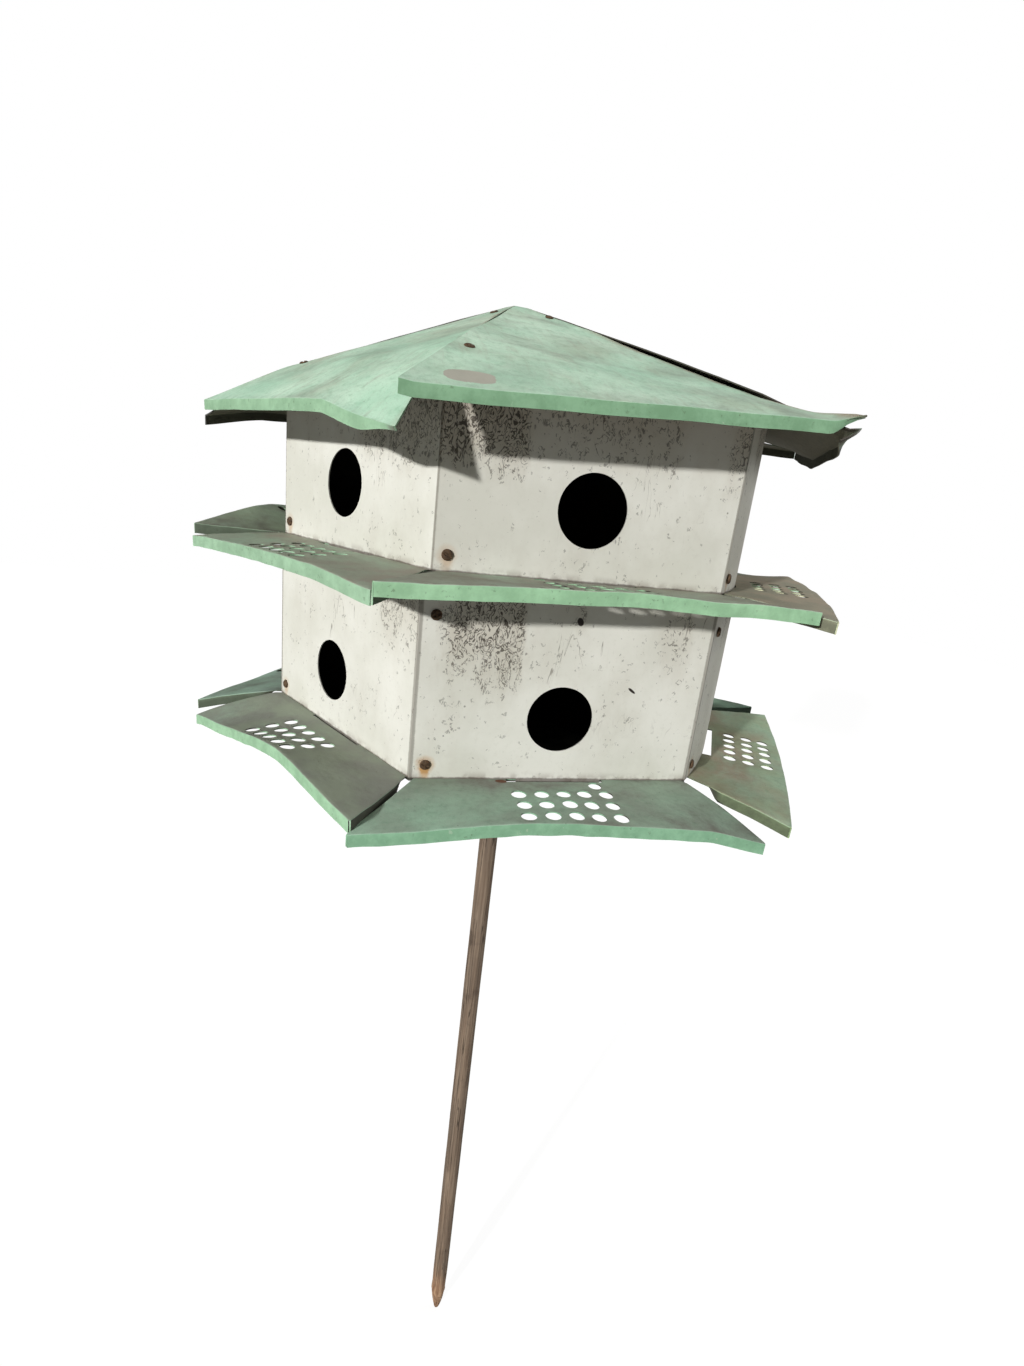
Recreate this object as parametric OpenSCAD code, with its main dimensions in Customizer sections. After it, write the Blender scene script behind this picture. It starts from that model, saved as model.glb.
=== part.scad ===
// Two-storey hexagonal nesting house of painted sheet metal on a slim wooden pole.
// The origin is the blunt end of the pole's point, +Z runs up the pole and the
// front wall faces -Y. Sides are counted from the front, counter-clockwise from above.

/* [House] */
// Length of one side of the hexagonal lower storey
side = 240; // [200:1:300]
// Height from one floor to the next
storey_pitch = 164; // [140:1:210]
// How far the upper walls stand inside the lower walls
upper_inset = 2.6; // [2:0.1:10]
// Turn of the upper storey on the lower one, in degrees
upper_twist = 1.2; // [0:0.1:2]
// Height of the upper storey's wall panels
upper_wall_h = 146; // [120:1:200]
// Thickness of every sheet
sheet = 1; // [0.6:0.1:1.2]

/* [Walls] */
// Diameter of the round doors
door_d = 55; // [38:1:66]
// Height of a door's centre above its wall's foot
door_rise = 53; // [48:1:60]
// Width of the flange that each wall tucks behind the next one
flange_w = 22; // [18:1:30]
// How far the two battered front-right walls bulge out
wall_bulge = 15; // [4:1:20]
// Width of the tongue at a wall's foot that drops through the porch
tongue_w = 73; // [40:1:90]
// Length of that tongue below the wall's foot
tongue_h = 3; // [2:0.5:6]
// Distance of the tongue's middle from the wall's middle
tongue_offset = 4; // [0:1:10]

/* [Porches] */
// Depth of a porch from its wall to its outer edge
porch_depth = 73; // [50:1:100]
// Height of the folded lip along the outer edge
porch_lip = 10; // [8:0.5:20]
// Height of the folded flanges down a porch's two sides
side_lip = 8.5; // [4:0.5:12]
// Gap between a porch's side and the corner line of the house
porch_gap = 3; // [1:0.5:8]
// Width of the strip that lies under the wall, on the floor
porch_seat = 20; // [16:1:24]
// Width of the flat stretch between a wall and the bend of its porch
porch_flat = 6; // [6:0.5:12]
// Diameter of the drain holes
drain_d = 12; // [6:0.5:13]
// Distance from the wall to the first row of drain holes
drain_start = 27; // [18:1:30]
// Distance between drain holes along the wall
drain_pitch = 18; // [16:0.5:24]
// Distance between rows of drain holes
drain_row_pitch = 17.5; // [14:0.5:18]

// Length of the slot behind each wall's foot
slot_l = 83; // [78:1:100]
// Distance that the slot reaches out past the wall
slot_reach = 5; // [2:0.5:5.5]
// Distance that the lower front-right porch has slipped outwards
lower_slip = 13; // [0:1:14]
// Distance that the upper front-right porch has slipped outwards
upper_slip = 10; // [0:1:14]

/* [Roof] */
// Slope of the roof, in degrees
roof_pitch = 22.8; // [15:0.1:35]
// Distance that the eaves reach past the upper walls
roof_overhang = 61; // [40:1:90]
// Height of the folded lip at the eaves
roof_lip = 9; // [8:0.5:20]
// Half the width of the flattened peak
peak_flat = 12; // [6:1:20]
// Distance that the peak has slipped towards -X
peak_slip = 28; // [0:1:30]
// Height that the front-right panel stands off its wall
panel_lift = 3; // [0:0.5:6]

/* [Pole] */
// Diameter of the wooden pole
pole_d = 22; // [18:0.5:34]
// Length of the pole from its point to the lower floor
pole_h = 1010; // [600:10:2400]
// Length of the whittled point
point_h = 40; // [20:1:80]
// Diameter of the flat end of the point
point_d = 7; // [5:0.5:12]
// Diameter of the burr above the point
burr_d = 24; // [22:0.5:40]

/* [Fasteners] */
// Diameter of a screw head
screw_head_d = 8.5; // [6:0.5:10]
// Diameter of a screw's shank
screw_d = 4; // [3:0.5:5]
// Length of a screw's shank
screw_l = 8; // [6:0.5:12]
// Distance of the wall screws from the corner of the house
screw_inset = 12; // [10:0.5:13]
// Outer diameter of the flange that holds the pole
socket_d = 84; // [60:1:110]
// Depth of the sleeve that the pole stands in
socket_h = 46; // [30:1:70]

/* [Hidden] */
$fn = 64;
sides = ["front", "front_right", "back_right", "back", "back_left", "front_left"];
front_right = 1;

paint_white = [0.87, 0.86, 0.83];
paint_green = [0.66, 0.82, 0.70];
weathered_wood = [0.45, 0.38, 0.31];
rusty_steel = [0.36, 0.26, 0.20];

clearance = 0.2;             // round each screw, and between the roof and the walls
slot_play = 0.4;             // round each tongue in its slot
lower_apothem = side * sin(60);
upper_apothem = lower_apothem - upper_inset;
upper_side = upper_apothem / sin(60);
lower_z = pole_h + sheet;    // top of the lower floor
upper_z = lower_z + storey_pitch;
lower_wall_h = storey_pitch - 2 * sheet;
wall_top = upper_z + sheet + upper_wall_h;
bulge_steps = 12;

// Height of each porch's outer edge above its seat, at five stations from left to right
stations = [-1, -0.5, 0, 0.5, 1];
lower_edges = [[-8, -3, 0, -6, -21], [-4, -4, -4, -4, -4], [2, -3, -3, -1, -2],
    [-2, 0, 0, -1, -5], [-5, -6, -8, -11, -13], [-27, -12, 4, 7, 1]];
upper_edges = [[-0.5, 3, 5, 4, 2], [-4, -1, 1, 2, 3], [-2, -1, 0, -1, -3],
    [-3, -1, 0, 0, -2], [-3, 8, 20, 17, 4], [-10, -5, -2.5, -2, -7]];
// Height of each roof panel's eave above a true cone, at the same stations
eaves = [[-9, -5, 0, 4, 9], [0, -2, -2, 8, 20], [20, 26, 26, 18, 8],
    [8, 3, 0, -2, -2], [0, 0, -3, -10, -25], [-11, -13, -15, -19, -37]];
// Distance of each wall's door from the wall's middle
lower_doors = [-2, 0, 0, 0, 0, -12];
upper_doors = [-2, 0, 0, 0, 0, -9];

function lerp(a, b, t) = a + (b - a) * t;
function along(values, u) = lookup(u, [for (k = [0:4]) [stations[k], values[k]]]);

// Closed solid skinned over a row of rings that have the same number of points. The second
// half of a ring runs back under the first, so that both are split along one diagonal, and
// each end is closed by a strip of quads.
module loft(rings) {
    n = len(rings[0]);
    last = len(rings) - 1;
    skin = [for (i = [0:last - 1], j = [0:n - 1])
        let (a = i * n + j, b = i * n + (j + 1) % n)
        each j < n / 2 ? [[a, b, a + n], [b, b + n, a + n]] : [[a, b, b + n], [a, b + n, a + n]]];
    strip = [for (j = [0:n / 2 - 2]) [j, j + 1, n - 2 - j, n - 1 - j]];
    caps = [for (q = strip) each [[q[3], q[2], q[1], q[0]], last * n * [1, 1, 1, 1] + q]];
    polyhedron([for (ring = rings) each ring], concat(skin, caps));
}

module on_side(i, twist = 0) {
    rotate([0, 0, 60 * i + twist]) children();
}

// ---- walls: the outer face of the front one lies in the plane y = -apothem ----

function bulge(i, s) = i == front_right ? 4 * wall_bulge * s * (1 - s) : 0;

// Outline from above: the outer face, the flange behind the next wall, the inner face
function wall_outline(i, w, apothem) = let (
        steps = i == front_right ? bulge_steps : 1,
        corner = [w / 2 - sheet / sin(60), -apothem],
        tip = corner + flange_w * [cos(60), sin(60)])
    concat(
        [for (k = [0:steps]) let (s = k / steps)
            [lerp(-w / 2, corner[0], s), -apothem - bulge(i, s)]],
        [tip, tip + sheet * [-sin(60), cos(60)]],
        [for (k = [steps:-1:0]) let (s = k / steps)
            [lerp(-w / 2 - sheet / tan(60), w / 2 - 2 * sheet * sin(60), s),
             -apothem + sheet - bulge(i, s)]]);

// Shank hole of a screw at the left end of side i, seen in the frame of side i
module screw_hole(apothem, w, z) {
    translate([-w / 2 + screw_inset, -apothem, z]) rotate([90, 0, 0])
        cylinder(d = screw_d + 2 * clearance, h = 4 * wall_bulge, center = true, $fn = 32);
}

module wall(i, w, apothem, h, door_x, screw_zs) {
    difference() {
        union() {
            linear_extrude(h) polygon(wall_outline(i, w, apothem));
            if (i != front_right)
                translate([tongue_offset - tongue_w / 2, -apothem, -tongue_h])
                    cube([tongue_w, sheet, 2 * tongue_h]);
        }
        translate([door_x, -apothem, door_rise]) rotate([90, 0, 0])
            cylinder(d = door_d, h = 4 * wall_bulge, center = true);
        for (z = screw_zs) {
            screw_hole(apothem, w, z);
            rotate([0, 0, 60]) screw_hole(apothem, w, z);
        }
    }
}

lower_screw_zs = [screw_inset, lower_wall_h - 2.5 * screw_inset];
upper_screw_zs = [screw_inset];

module lower_wall(i) {
    color(paint_white) on_side(i) translate([0, 0, lower_z + sheet])
        wall(i, side, lower_apothem, lower_wall_h, lower_doors[i], lower_screw_zs);
}

module upper_wall(i) {
    color(paint_white) on_side(i, upper_twist) translate([0, 0, upper_z + sheet])
        wall(i, upper_side, upper_apothem, upper_wall_h - top_cut(i), upper_doors[i],
            upper_screw_zs);
}

// ---- floors: a plate under each storey, notched for the walls' tongues ----

module floor_plate(top, apothem, twist) {
    difference() {
        translate([0, 0, top - sheet]) cylinder(r = side, h = sheet, $fn = 6);
        for (i = [0:5]) on_side(i, twist) tongue_slot(apothem, top);
    }
}

module tongue_slot(apothem, z) {
    translate([tongue_offset - tongue_w / 2 - slot_play, -apothem - slot_play, z - 2 * tongue_h])
        cube([tongue_w + 2 * slot_play, sheet + 2 * slot_play, 4 * tongue_h]);
}

module lower_floor() {
    color(paint_green) floor_plate(lower_z, lower_apothem, 0);
}

module upper_floor() {
    color(paint_green) floor_plate(upper_z, upper_apothem, upper_twist);
}

// ---- porches: a folded tray from the strip under the wall to the outer lip ----

function porch_point(u, dist, z) = [u * (dist * tan(30) - porch_gap), -dist, z];

// Section at station u; drop is the height of a side flange there, 0 between the sides
function porch_ring(edge, apothem, u, drop) = let (
        z = along(edge, u),
        seat = apothem - porch_seat,
        bend = apothem + porch_flat,
        near = bend + side_lip,
        out = apothem + porch_depth,
        near_z = z * (near - bend) / (out - bend))
    [porch_point(u, seat, sheet),
     porch_point(u, bend, sheet),
     porch_point(u, near, near_z + sheet),
     porch_point(u, out, z + sheet),
     porch_point(u, out, z + sheet - porch_lip),
     porch_point(u, out - sheet, z + sheet - porch_lip),
     porch_point(u, out - sheet, z - drop),
     porch_point(u, near, near_z - drop),
     porch_point(u, bend, 0),
     porch_point(u, seat, 0)];

module porch(edge, apothem) {
    fold = sheet / ((apothem + porch_depth) * tan(30));
    difference() {
        loft(concat(
            [for (u = [-1, -1 + fold]) porch_ring(edge, apothem, u, side_lip)],
            [porch_ring(edge, apothem, -1 + 2 * fold, 0)],
            [for (u = [-0.5, 0, 0.5]) porch_ring(edge, apothem, u, 0)],
            [porch_ring(edge, apothem, 1 - 2 * fold, 0)],
            [for (u = [1 - fold, 1]) porch_ring(edge, apothem, u, side_lip)]));
        translate([-slot_l / 2, -apothem - slot_reach, -porch_lip])
            cube([slot_l, slot_reach + sheet + slot_play, porch_lip + sheet]);
        for (row = [0:2], column = [-2:2])
            translate([column * drain_pitch, -apothem - drain_start - row * drain_row_pitch, 0])
                cylinder(d = drain_d, h = 6 * porch_lip, center = true);
    }
}

module lower_porch(i) {
    slip = i == front_right ? lower_slip : 0;
    color(paint_green) on_side(i) translate([0, -slip, lower_z])
        porch(lower_edges[i], lower_apothem);
}

module upper_porch(i) {
    slip = i == front_right ? upper_slip : 0;
    color(paint_green) on_side(i, upper_twist) translate([0, -slip, upper_z])
        porch(upper_edges[i], upper_apothem);
}

// ---- roof: six sheets that meet at the hips, each with a lip at its eave ----

hip_gap = 0.4;
roof_sheet = sheet / cos(roof_pitch);      // thickness measured straight down
roof_wall_z = wall_top + clearance;        // underside over a wall's outer face
peak_z = roof_wall_z + (upper_apothem - peak_flat) * tan(roof_pitch);
eave_z = roof_wall_z - roof_overhang * tan(roof_pitch);
peak_hole = 1.5;

// The bulged wall's top is worn down until the panel above it clears its middle
bulge_clearance = 0.7;
eave_drop = roof_overhang * tan(roof_pitch) - along(eaves[front_right], -0.25) + panel_lift;
bulge_cut = wall_bulge * eave_drop / (roof_overhang - sheet)
    - panel_lift - clearance + bulge_clearance;
function top_cut(i) = i == front_right ? max(0, bulge_cut) : 0;
function lift(i) = i == front_right ? panel_lift : 0;
// Where the slipped peak lies in the frame of side i
function peak_at(i) = peak_slip * [-cos(60 * i + upper_twist), sin(60 * i + upper_twist)];
function roof_point(u, dist, z, shift = [0, 0]) =
    [u * (dist * tan(30) - hip_gap) + shift[0], shift[1] - dist, z];

function roof_ring(i, u) = let (
        eave = eave_z + along(eaves[i], u),
        out = upper_apothem + roof_overhang,
        top = [0, 0, roof_sheet],
        rim = roof_point(u, out, eave) + top,
        under = [roof_point(u, out - sheet, eave),
            roof_point(u, upper_apothem, roof_wall_z + lift(i)),
            roof_point(u, peak_flat, peak_z, peak_at(i)),
            roof_point(u, peak_hole, peak_z, peak_at(i))])
    [under[3] + top, under[2] + top, under[1] + top, rim,
     rim - [0, 0, roof_lip], roof_point(u, out - sheet, rim[2] - roof_lip),
     under[0], under[1], under[2], under[3]];

module roof_panel(i) {
    color(paint_green) on_side(i, upper_twist) difference() {
        loft([for (u = stations) roof_ring(i, u)]);
        on_roof(i) cylinder(d = screw_d + 2 * clearance, h = 3 * screw_l, center = true, $fn = 32);
    }
}

// ---- fasteners and pole ----

screw_head_h = 2.6;
slot_w = 1.2;

// A slotted screw whose head stands on z = 0
module screw() {
    difference() {
        union() {
            cylinder(d1 = screw_head_d, d2 = 0.8 * screw_head_d, h = screw_head_h);
            translate([0, 0, -screw_l]) cylinder(d = screw_d, h = screw_l + screw_head_h / 2);
        }
        translate([-screw_head_d, -slot_w / 2, screw_head_h / 2])
            cube([2 * screw_head_d, slot_w, screw_head_h]);
    }
}

module wall_screws(w, apothem, twist, base, zs) {
    for (i = [0:5], z = zs) {
        reach = (screw_inset + screw_head_d / 2) / w;
        on_side(i, twist) translate([-w / 2 + screw_inset, -apothem - bulge(i, reach), base + z])
            rotate([90, 0, 0]) screw();
    }
}

module lower_wall_screws() {
    color(rusty_steel)
        wall_screws(side, lower_apothem, 0, lower_z + sheet, lower_screw_zs);
}

module upper_wall_screws() {
    color(rusty_steel)
        wall_screws(upper_side, upper_apothem, upper_twist, upper_z + sheet, upper_screw_zs);
}

// Run and slope of the underside of a roof panel, from its wall up to the peak
function roof_run(i) = upper_apothem - peak_flat + peak_at(i)[1];
function roof_slope(i) = atan((peak_z - roof_wall_z - lift(i)) / roof_run(i));

// Two places a panel: one by the left hip over the wall's corner, one near the peak
module on_roof(i) {
    low = 12;
    high = roof_run(i) - 28;
    for (p = [[14 - (upper_apothem - low) * tan(30), low], [peak_at(i)[0] + 11, high]])
        translate([p[0], p[1] - upper_apothem, roof_wall_z + lift(i) + p[1] * tan(roof_slope(i))])
            rotate([roof_slope(i), 0, 0]) children();
}

module roof_screws() {
    color(rusty_steel) for (i = [0:5]) on_side(i, upper_twist)
        on_roof(i) translate([0, 0, sheet * cos(roof_slope(i)) / cos(roof_pitch)]) screw();
}

module pole() {
    color(weathered_wood) rotate_extrude()
        polygon([[0, 0], [point_d / 2, 0], [burr_d / 2, point_h], [burr_d / 2, point_h + 12],
            [pole_d / 2, 2 * point_h + 12], [pole_d / 2, pole_h], [0, pole_h]]);
}

module pole_socket() {
    color(rusty_steel) difference() {
        union() {
            translate([0, 0, pole_h - 3]) cylinder(d = socket_d, h = 3);
            translate([0, 0, pole_h - socket_h]) cylinder(d = pole_d + 8, h = socket_h);
        }
        cylinder(d = pole_d + 2 * clearance, h = pole_h + 1);
    }
}

pole();
pole_socket();
lower_floor();
upper_floor();
for (i = [0:5]) {
    lower_wall(i);
    upper_wall(i);
    lower_porch(i);
    upper_porch(i);
    roof_panel(i);
}
lower_wall_screws();
upper_wall_screws();
roof_screws();
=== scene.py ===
# Looks of the two-storey birdhouse on its pole: dented sheet porches and roof, painted walls,
# slotted screws and a whittled pole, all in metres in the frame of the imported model.
import math
import random

import bmesh
import bpy
from mathutils import Matrix, Vector, noise


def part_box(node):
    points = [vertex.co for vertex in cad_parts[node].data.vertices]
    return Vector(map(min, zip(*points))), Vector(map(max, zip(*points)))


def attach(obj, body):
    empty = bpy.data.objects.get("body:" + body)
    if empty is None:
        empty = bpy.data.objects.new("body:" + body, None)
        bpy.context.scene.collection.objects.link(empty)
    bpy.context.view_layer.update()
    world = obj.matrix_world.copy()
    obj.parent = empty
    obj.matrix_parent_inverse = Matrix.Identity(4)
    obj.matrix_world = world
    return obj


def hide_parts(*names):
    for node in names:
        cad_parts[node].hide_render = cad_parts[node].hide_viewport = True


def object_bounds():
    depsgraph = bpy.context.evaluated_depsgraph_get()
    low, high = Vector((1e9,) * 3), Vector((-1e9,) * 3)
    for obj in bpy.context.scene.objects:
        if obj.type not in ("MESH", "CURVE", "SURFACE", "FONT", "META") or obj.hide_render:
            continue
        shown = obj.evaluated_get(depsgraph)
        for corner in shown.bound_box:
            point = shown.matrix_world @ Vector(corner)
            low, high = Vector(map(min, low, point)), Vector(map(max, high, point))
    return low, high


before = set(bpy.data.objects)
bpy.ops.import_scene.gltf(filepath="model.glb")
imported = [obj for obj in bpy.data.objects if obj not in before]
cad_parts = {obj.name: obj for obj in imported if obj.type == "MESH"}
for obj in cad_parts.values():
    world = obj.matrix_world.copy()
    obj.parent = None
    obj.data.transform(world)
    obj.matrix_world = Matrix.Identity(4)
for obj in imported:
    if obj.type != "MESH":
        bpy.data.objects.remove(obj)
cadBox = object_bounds()
print("frame loaded")

mm = 0.001
scene = bpy.context.scene
sideNames = ["front", "front_right", "back_right", "back", "back_left", "front_left"]
house = {
    "sheet": 1 * mm,
    "upperTwist": math.radians(1.2),
    "upperInset": 2.6 * mm,
    "bulge": 15 * mm,                            # of the front-right walls
}
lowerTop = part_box("lower_floor")[1].z           # porches lie on this
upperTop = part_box("upper_floor")[1].z
lowerApothem = -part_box("lower_wall_front")[0].y
upperApothem = lowerApothem - house["upperInset"]
wallWidth = 2 * lowerApothem * math.tan(math.pi / 6)
# turn, distance from the pole to a wall's outer face, and height of the floor that the porches lie on
storeys = {"lower": (0.0, lowerApothem, lowerTop),
           "upper": (house["upperTwist"], upperApothem, upperTop)}


class Wire:
    # a socket that can be added, multiplied and compared; each sum adds a Math node
    def __init__(self, graph, socket):
        self.graph = graph
        self.socket = socket

    def math(self, operation, *others):
        made = self.graph.node("ShaderNodeMath", {"operation": operation},
                               dict(enumerate([self, *others])))
        return Wire(self.graph, made.outputs[0])

    def __add__(self, other):
        return self.math("ADD", other)

    def __radd__(self, other):
        return self.math("ADD", other)

    def __sub__(self, other):
        return self.math("SUBTRACT", other)

    def __rsub__(self, other):
        return self.graph.value("SUBTRACT", other, self)

    def __mul__(self, other):
        return self.math("MULTIPLY", other)

    def __rmul__(self, other):
        return self.math("MULTIPLY", other)

    def __truediv__(self, other):
        return self.math("DIVIDE", other)

    def __pow__(self, other):
        return self.math("POWER", other)

    def __abs__(self):
        return self.math("ABSOLUTE")

    def step(self, low, high):
        # 0 below low, 1 above high, smooth between; low may be the larger
        made = self.graph.node("ShaderNodeMapRange", {"interpolation_type": "SMOOTHSTEP"},
                               {"Value": self, "From Min": low, "From Max": high})
        return Wire(self.graph, made.outputs["Result"])


class Graph:
    # the nodes of a material or of the world
    def __init__(self, owner):
        self.owner = owner
        owner.use_nodes = True
        self.tree = owner.node_tree
        self.tree.nodes.clear()

    def node(self, kind, settings=None, values=None):
        made = self.tree.nodes.new(kind)
        for key, value in (settings or {}).items():
            if key == "stops":
                ramp = made.color_ramp
                while len(ramp.elements) < len(value):
                    ramp.elements.new(0.5)
                for stop, (place, colour) in zip(ramp.elements, value):
                    stop.position = place
                    stop.color = (*colour, 1)
            else:
                setattr(made, key, value)
        for key, value in (values or {}).items():
            self.feed(made.inputs[key], value)
        return made

    def feed(self, socket, value):
        if isinstance(value, Wire):
            value = value.socket
        if isinstance(value, bpy.types.NodeSocket):
            self.tree.links.new(value, socket)
        elif isinstance(value, (tuple, list)) and len(value) == 3 and socket.type == "RGBA":
            socket.default_value = (*value, 1)
        else:
            socket.default_value = value

    def value(self, operation, first, second):
        made = self.node("ShaderNodeMath", {"operation": operation}, {0: first, 1: second})
        return Wire(self, made.outputs[0])

    def noise(self, where, scale, detail=3.0, rough=0.55, bend=0.0):
        made = self.node("ShaderNodeTexNoise", None,
                         {"Vector": where, "Scale": scale, "Detail": detail,
                          "Roughness": rough, "Distortion": bend})
        return Wire(self, made.outputs["Fac"])

    def cells(self, where, scale):
        made = self.node("ShaderNodeTexVoronoi", None, {"Vector": where, "Scale": scale})
        return Wire(self, made.outputs["Distance"])

    def stretched(self, where, scale, shift=(0, 0, 0)):
        return self.node("ShaderNodeMapping", None,
                         {"Vector": where, "Scale": scale, "Location": shift}).outputs[0]

    def turned(self, where, angle):
        # the same place seen in the frame of a side of the house
        return self.node("ShaderNodeMapping", None,
                         {"Vector": where, "Rotation": (0, 0, -angle)}).outputs[0]

    def parts(self, where):
        made = self.node("ShaderNodeSeparateXYZ", None, {0: where})
        return [Wire(self, out) for out in made.outputs]

    def ramp(self, value, stops):
        made = self.node("ShaderNodeValToRGB", {"stops": stops}, {0: value})
        return made.outputs["Color"]

    def mix(self, factor, first, second):
        made = self.node("ShaderNodeMix", {"data_type": "RGBA"},
                         {0: factor, 6: first, 7: second})
        return made.outputs[2]

    def finish(self, colour, roughness, height=None, depth=0.0, metal=0.0):
        shader = self.node("ShaderNodeBsdfPrincipled", None,
                           {"Base Color": colour, "Roughness": roughness, "Metallic": metal})
        shader.inputs["Specular IOR Level"].default_value = 0.35
        if height is not None:
            bump = self.node("ShaderNodeBump", None, {"Height": height, "Distance": depth})
            bump.inputs["Strength"].default_value = 1.0
            self.feed(shader.inputs["Normal"], bump.outputs[0])
        self.node("ShaderNodeOutputMaterial", None, {0: shader.outputs[0]})
        return self.owner


def paintGraph(name):
    g = Graph(bpy.data.materials.new(name))
    g.coords = g.node("ShaderNodeTexCoord").outputs["Object"]
    g.normal = g.node("ShaderNodeNewGeometry").outputs["Normal"]
    return g


def srgb(red, green, blue):
    # a colour as seen on screen, 0 to 255, turned into the values that a shader takes
    return tuple(((c / 255 + 0.055) / 1.055) ** 2.4 if c > 10 else c / 3294.6
                 for c in (red, green, blue))


def place(side, across, out, z, twist=0.0):
    # a point in the frame of a side: across it to the right, out from the pole, up
    angle = side * math.pi / 3 + twist
    return Vector((math.cos(angle) * across + math.sin(angle) * out,
                   math.sin(angle) * across - math.cos(angle) * out, z))


def alongKnots(knots, x):
    # height at x along a chain of given points, in millimetres
    if x <= knots[0][0]:
        return knots[0][1]
    for (x0, z0), (x1, z1) in zip(knots, knots[1:]):
        if x <= x1:
            return z0 + (z1 - z0) * (x - x0) / (x1 - x0)
    return knots[-1][1]


def softKnots(knots, x, reach=5.0):
    return (alongKnots(knots, x - reach) + 2 * alongKnots(knots, x)
            + alongKnots(knots, x + reach)) / 4


def smooth(t):
    t = min(1.0, max(0.0, t))
    return t * t * (3 - 2 * t)


def dent(x, y, seed, size, depth):
    return depth * noise.noise(Vector((x / size, y / size, seed * 7.3)))


def sharpen(mesh, limit=math.radians(38)):
    work = bmesh.new()
    work.from_mesh(mesh)
    for face in work.faces:
        face.smooth = True
    for edge in work.edges:
        edge.smooth = edge.is_manifold and edge.calc_face_angle(0) < limit
    work.to_mesh(mesh)
    work.free()


def newPiece(name, mesh, material, slot, *nodes):
    piece = bpy.data.objects.new(name, mesh)
    scene.collection.objects.link(piece)
    mesh.materials.clear()
    mesh.materials.append(material)
    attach(piece, "root")
    if nodes:
        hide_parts(*nodes)
    return piece


def applied(name, mesh, modifiers):
    # runs modifiers on a mesh in a temporary object and gives back the resulting mesh
    holder = bpy.data.objects.new(name, mesh)
    scene.collection.objects.link(holder)
    for kind, settings in modifiers:
        modifier = holder.modifiers.new(kind, kind)
        for key, value in settings.items():
            setattr(modifier, key, value)
    graph = bpy.context.evaluated_depsgraph_get()
    made = bpy.data.meshes.new_from_object(holder.evaluated_get(graph))
    bpy.data.objects.remove(holder)
    made.name = name
    return made


def keepInside(mesh):
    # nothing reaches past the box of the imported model
    low, high = cadBox
    for vertex in mesh.vertices:
        for axis in range(3):
            vertex.co[axis] = min(high[axis], max(low[axis], vertex.co[axis]))


def sheetGrid(name, rows, columns, pointAt, missing):
    mesh = bpy.data.meshes.new(name)
    work = bmesh.new()
    grid = [[work.verts.new(pointAt(row, column)) for column in columns] for row in rows]
    for r in range(len(rows) - 1):
        for c in range(len(columns) - 1):
            if missing(rows[r], rows[r + 1], columns[c], columns[c + 1]):
                continue
            work.faces.new((grid[r][c], grid[r + 1][c], grid[r + 1][c + 1], grid[r][c + 1]))
    bmesh.ops.delete(work, geom=[v for v in work.verts if not v.link_faces], context="VERTS")
    work.to_mesh(mesh)
    work.free()
    return mesh


def fold(radius, depth, steps=3, rows=3):
    # how far out and how far down each line of a fold lies
    arc = [(radius * math.sin(t), radius * (1 - math.cos(t)))
           for t in [math.pi / 2 * k / steps for k in range(1, steps + 1)]]
    flat = [(radius, radius + (depth - radius) * k / rows) for k in range(1, rows + 1)]
    return arc + flat


def spread(low, high, count):
    return [low + (high - low) * k / (count - 1) for k in range(count)]


mint = srgb(176, 214, 187)
mintDeep = srgb(128, 180, 146)
mintPale = srgb(205, 232, 208)
greyGrime = srgb(112, 110, 98)


def spotMask(g, x, y, px, py, long, wide, turn, fine):
    # a small oval mark with a ragged edge
    along = (x - px) * math.cos(turn) + (y - py) * math.sin(turn)
    beside = (y - py) * math.cos(turn) - (x - px) * math.sin(turn)
    far = ((along / long) ** 2.0 + (beside / wide) ** 2.0 + (fine - 0.5) * 0.8)
    return far.step(1.2, 0.75)


def lipPaint(g, look, side, twist, local, cloud, fine):
    # the folded lips keep a clearer green, worn pale in patches, with dark nicks
    x = g.parts(local)[0]
    deep = look.get("lip", srgb(128, 170, 134))
    pale = tuple(c * 1.22 + 0.03 for c in deep)
    base = g.mix(g.noise(local, 46, 4, 0.7).step(0.36, 0.68), deep, pale)
    base = g.mix(g.noise(local, 210, 4, 0.75).step(0.60, 0.70) * 0.55, base, srgb(92, 108, 84))
    base = g.mix(g.noise(local, 110, 3, 0.8).step(0.66, 0.76) * 0.45, base, srgb(206, 214, 194))
    sideways, inwards = g.parts(g.turned(g.normal, side * math.pi / 3 + twist))[:2]
    for end, tone in look.get("flanges", []):
        # a side flange gets a colour of its own; the near-black ones are painted shade where a flange sits
        # tucked between two porches
        base = g.mix((sideways * end).step(0.45, 0.7) * (x * end).step(0.0, 0.02), base,
                     g.mix(fine.step(0.35, 0.7), tone, tuple(c * 1.5 for c in tone)))
    if "shadedLipEnd" in look:
        # painted shade darkens the lip's end near a corner: which end, how far in, and its colour
        end, reach, dark = look["shadedLipEnd"]
        towards = (x * end - reach + (cloud - 0.5) * 0.03).step(-0.012, 0.012)
        base = g.mix(towards, base, g.mix(fine, dark, tuple(c * 1.8 for c in dark)))
    back = inwards.step(0.3, 0.6).math("MAXIMUM", (sideways * x).step(-0.01, -0.03))
    return g.mix(back, base, srgb(66, 68, 56))                    # painted shade on the lips' backs, which face the house


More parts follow.
